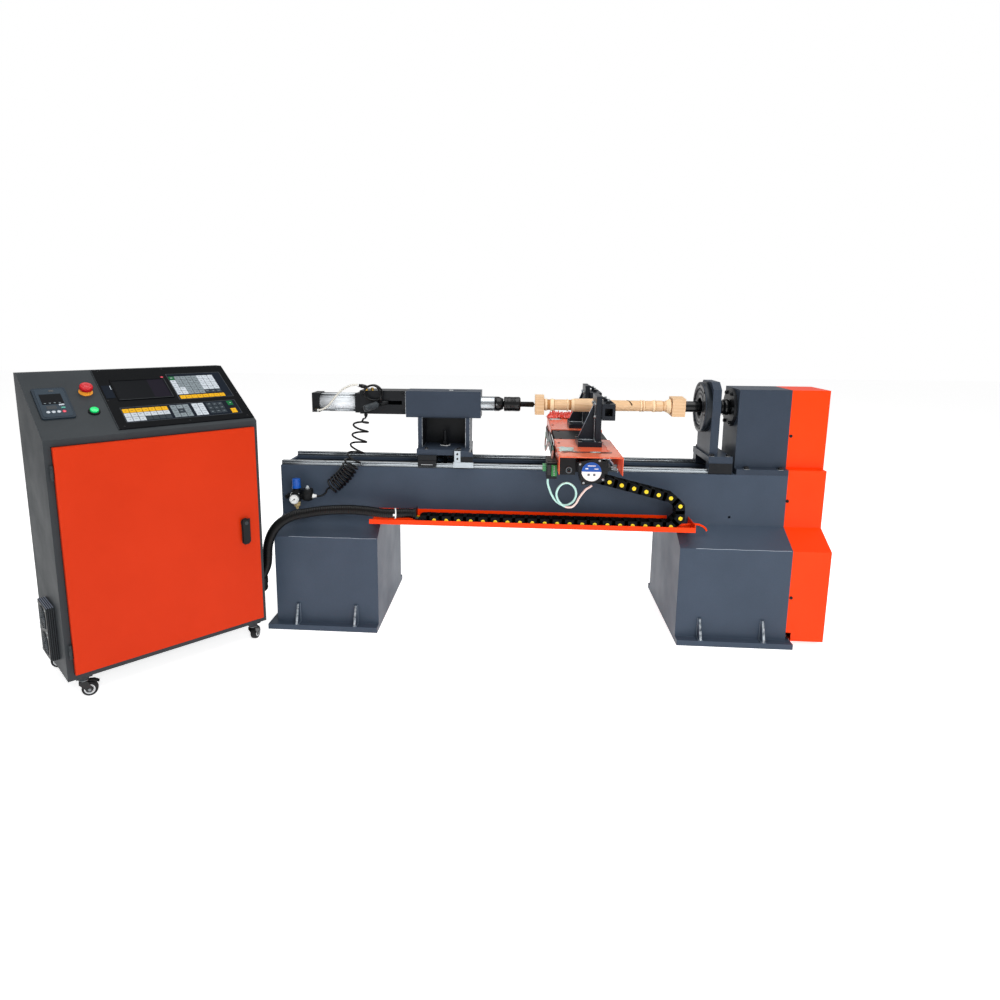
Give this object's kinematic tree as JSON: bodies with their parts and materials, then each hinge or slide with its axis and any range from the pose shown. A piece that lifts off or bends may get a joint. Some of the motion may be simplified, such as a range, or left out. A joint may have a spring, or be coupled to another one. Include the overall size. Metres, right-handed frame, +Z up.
{
  "type": "cnc wood turning lathe",
  "caption": "Computer-controlled wood turning lathe on a welded bed, with opposed tool posts, air tailstock, steady rest and a control console on castors.",
  "frame": {"origin": "on the floor under the centre of the whole machine's box, lathe and console together", "axes": "+X along the bed towards the headstock, +Y from the operator's side to the back, +Z up"},
  "size_m": [2.8812, 1.4186, 1.0583],
  "materials": {
    "frame_grey": "hammered semi-gloss enamel",
    "casting_grey": "semi-gloss enamel",
    "rail_steel": "ground",
    "servo_black": "satin",
    "cartridge_black": "black oxide",
    "motor_grey": "enamel",
    "belt_rubber": "moulded",
    "cover_orange": "powder coat",
    "chain_nylon": "moulded",
    "conduit_plastic": "corrugated",
    "gland_plastic": "moulded",
    "air_unit_black": "moulded",
    "cabinet_grey": "textured powder coat",
    "panel_zinc": "zinc plated",
    "inverter_plastic": "moulded",
    "controller_face": "printed film",
    "fan_plastic": "moulded",
    "saddle_steel": "black oxide",
    "guide_black": "black chrome",
    "motor_black": "satin",
    "driver_grey": "anodised",
    "cable_cyan": "extruded",
    "table_black": "black oxide",
    "hood_red": "powder coat under film",
    "cutter_steel": "ground",
    "screw_steel": "ground",
    "cylinder_aluminium": "satin anodised",
    "bracket_black": "black oxide",
    "clamp_black": "black oxide",
    "hose_black": "extruded",
    "valve_black": "knurled",
    "quill_steel": "ground",
    "center_steel": "ground",
    "ring_steel": "turned",
    "spindle_black": "black oxide",
    "turned_wood": "sanded",
    "pulley_iron": "turned",
    "door_orange": "powder coat",
    "latch_black": "black zinc",
    "stop_red": "moulded",
    "start_green": "lit",
    "caster_zinc": "zinc plated",
    "caster_rubber": "moulded",
    "knob_blue": "moulded",
    "rotor_plastic": "moulded"
  },
  "bodies": {
    "machine": {"bed_beam": "frame_grey", "pedestals": "frame_grey", "headstock_column": "casting_grey", "guide_rails": "rail_steel", "x_servo_drive": "servo_black", "spindle_housing": "cartridge_black", "spindle_motor": "motor_grey", "v_belt": "belt_rubber", "end_covers": "cover_orange", "cable_tray": "cover_orange", "drag_chain": "chain_nylon", "conduit": "conduit_plastic", "conduit_glands": "gland_plastic", "air_unit": "air_unit_black", "console_shell": "cabinet_grey", "electrics_panel": "panel_zinc", "inverter_keypad": "inverter_plastic", "controller_panel": "controller_face", "fan_housings": "fan_plastic", "coil_hose": "hose_black"},
    "carriage": {"saddle": "saddle_steel", "carriage_guides": "guide_black"},
    "cross_slide": {"slide_table": "table_black", "cross_rails": "rail_steel", "cross_motor": "motor_black", "driver_box": "driver_grey", "motor_cable": "cable_cyan", "hoods": "hood_red", "tool_posts": "casting_grey", "cutters": "cutter_steel"},
    "x_screw": {"x_screw": "screw_steel"},
    "cross_screw": {"cross_screw": "screw_steel"},
    "tailstock": {"tailstock_frame": "casting_grey", "air_cylinder": "cylinder_aluminium", "cylinder_bracket": "bracket_black", "clamp_hardware": "clamp_black", "air_hoses": "hose_black"},
    "valve_sleeve": {"valve_sleeve": "valve_black"},
    "quill": {"quill": "quill_steel"},
    "live_center": {"live_center": "center_steel"},
    "steady": {"steady_frame": "casting_grey"},
    "steady_ring": {"steady_ring": "ring_steel"},
    "spindle": {"spindle_shaft": "spindle_black", "workpiece": "turned_wood"},
    "motor_rotor": {"motor_pulley": "pulley_iron"},
    "door": {"door": "door_orange"},
    "door_latch": {"door_latch": "latch_black"},
    "emergency_stop": {"emergency_stop": "stop_red"},
    "start_button": {"start_button": "start_green"},
    "regulator_knob": {"regulator_knob": "knob_blue"},
    "fan_rotor_1": {"fan_rotor_1": "rotor_plastic"},
    "fan_rotor_2": {"fan_rotor_2": "rotor_plastic"},
    "caster_fork_1": {"caster_fork_1": "caster_zinc"},
    "caster_wheel_1": {"caster_wheel_1": "caster_rubber"},
    "caster_fork_2": {"caster_fork_2": "caster_zinc"},
    "caster_wheel_2": {"caster_wheel_2": "caster_rubber"},
    "caster_fork_3": {"caster_fork_3": "caster_zinc"},
    "caster_wheel_3": {"caster_wheel_3": "caster_rubber"},
    "caster_fork_4": {"caster_fork_4": "caster_zinc"},
    "caster_wheel_4": {"caster_wheel_4": "caster_rubber"}
  },
  "joints": [
    {"name": "carriage_slide", "type": "slide", "parent": "machine", "child": "carriage", "axis": [1, 0, 0], "range_m": [-0.28, 0.3], "deforming": ["drag_chain"]},
    {"name": "cross_travel", "type": "slide", "parent": "carriage", "child": "cross_slide", "axis": [0, 1, 0], "range_m": [-0.095, 0.005]},
    {"name": "x_screw_spin", "type": "hinge", "parent": "machine", "child": "x_screw", "pos_m": [-0.02142, 0.13934, 0.6], "axis": [1, 0, 0], "continuous": true},
    {"name": "cross_screw_spin", "type": "hinge", "parent": "cross_slide", "child": "cross_screw", "pos_m": [0.51258, 0.11934, 0.7095], "axis": [0, 1, 0], "continuous": true},
    {"name": "tailstock_slide", "type": "slide", "parent": "machine", "child": "tailstock", "axis": [1, 0, 0], "range_m": [-0.3, 0], "deforming": ["coil_hose"]},
    {"name": "quill_slide", "type": "slide", "parent": "tailstock", "child": "quill", "axis": [1, 0, 0], "range_m": [-0.12, 0]},
    {"name": "live_center_spin", "type": "hinge", "parent": "quill", "child": "live_center", "pos_m": [0.22858, 0.13934, 0.903], "axis": [1, 0, 0], "continuous": true},
    {"name": "valve_push", "type": "slide", "parent": "tailstock", "child": "valve_sleeve", "axis": [-0.6795, -0.7036, -0.2079], "range_m": [0, 0.008]},
    {"name": "spindle_spin", "type": "hinge", "parent": "machine", "child": "spindle", "pos_m": [1.17858, 0.13934, 0.903], "axis": [1, 0, 0], "continuous": true},
    {"name": "motor_spin", "type": "hinge", "parent": "machine", "child": "motor_rotor", "pos_m": [1.27858, 0.13934, 0.25], "axis": [1, 0, 0], "continuous": true},
    {"name": "steady_slide", "type": "slide", "parent": "machine", "child": "steady", "axis": [1, 0, 0], "range_m": [-0.045, 0]},
    {"name": "steady_ring_spin", "type": "hinge", "parent": "steady", "child": "steady_ring", "pos_m": [0.98858, 0.13934, 0.903], "axis": [1, 0, 0], "continuous": true},
    {"name": "door_hinge", "type": "hinge", "parent": "machine", "child": "door", "pos_m": [-1.177, -0.70293, 0.47], "axis": [0, 0, -1], "range_deg": [0, 110]},
    {"name": "latch_turn", "type": "hinge", "parent": "door", "child": "door_latch", "pos_m": [-0.77025, -0.25913, 0.491], "axis": [-0.7406, 0.672, 0], "range_deg": [0, 90]},
    {"name": "estop_push", "type": "slide", "parent": "machine", "child": "emergency_stop", "axis": [-0.4059, 0.3683, -0.8365], "range_m": [0, 0.004], "stiffness_N_per_m": 1500, "springref_m": -0.001},
    {"name": "start_push", "type": "slide", "parent": "machine", "child": "start_button", "axis": [-0.4059, 0.3683, -0.8365], "range_m": [0, 0.003], "stiffness_N_per_m": 1000, "springref_m": -0.001},
    {"name": "caster_swivel_1", "type": "hinge", "parent": "machine", "child": "caster_fork_1", "pos_m": [-1.17186, -0.66304, 0.06], "axis": [0, 0, 1], "continuous": true},
    {"name": "caster_roll_1", "type": "hinge", "parent": "caster_fork_1", "child": "caster_wheel_1", "pos_m": [-1.1577, -0.65558, 0.025], "axis": [-0.4661, 0.8847, 0], "continuous": true},
    {"name": "caster_swivel_2", "type": "hinge", "parent": "machine", "child": "caster_fork_2", "pos_m": [-0.77163, -0.22196, 0.06], "axis": [0, 0, 1], "continuous": true},
    {"name": "caster_roll_2", "type": "hinge", "parent": "caster_fork_2", "child": "caster_wheel_2", "pos_m": [-0.77101, -0.20597, 0.025], "axis": [-0.9992, 0.0387, 0], "continuous": true},
    {"name": "caster_swivel_3", "type": "hinge", "parent": "machine", "child": "caster_fork_3", "pos_m": [-1.37277, -0.48073, 0.06], "axis": [0, 0, 1], "continuous": true},
    {"name": "caster_roll_3", "type": "hinge", "parent": "caster_fork_3", "child": "caster_wheel_3", "pos_m": [-1.38693, -0.48819, 0.025], "axis": [0.4661, -0.8847, 0], "continuous": true},
    {"name": "caster_swivel_4", "type": "hinge", "parent": "machine", "child": "caster_fork_4", "pos_m": [-0.97254, -0.03965, 0.06], "axis": [0, 0, 1], "continuous": true},
    {"name": "caster_roll_4", "type": "hinge", "parent": "caster_fork_4", "child": "caster_wheel_4", "pos_m": [-0.98528, -0.02997, 0.025], "axis": [-0.6049, -0.7963, 0], "continuous": true},
    {"name": "regulator_turn", "type": "hinge", "parent": "machine", "child": "regulator_knob", "pos_m": [-0.63842, -0.04066, 0.59], "axis": [0, 0, 1], "range_deg": [-150, 150]},
    {"name": "fan_spin_1", "type": "hinge", "parent": "machine", "child": "fan_rotor_1", "pos_m": [-1.30872, -0.61447, 0.164], "axis": [0.672, 0.7406, 0], "continuous": true},
    {"name": "fan_spin_2", "type": "hinge", "parent": "machine", "child": "fan_rotor_2", "pos_m": [-1.30872, -0.61447, 0.256], "axis": [0.672, 0.7406, 0], "continuous": true}
  ],
  "couplings": [
    {"joint": "x_screw_spin", "follows": "carriage_slide", "rad_per_m": 628.32},
    {"joint": "cross_screw_spin", "follows": "cross_travel", "rad_per_m": 1256.6},
    {"joint": "live_center_spin", "follows": "spindle_spin", "ratio": 1},
    {"joint": "motor_spin", "follows": "spindle_spin", "ratio": 1.48}
  ]
}
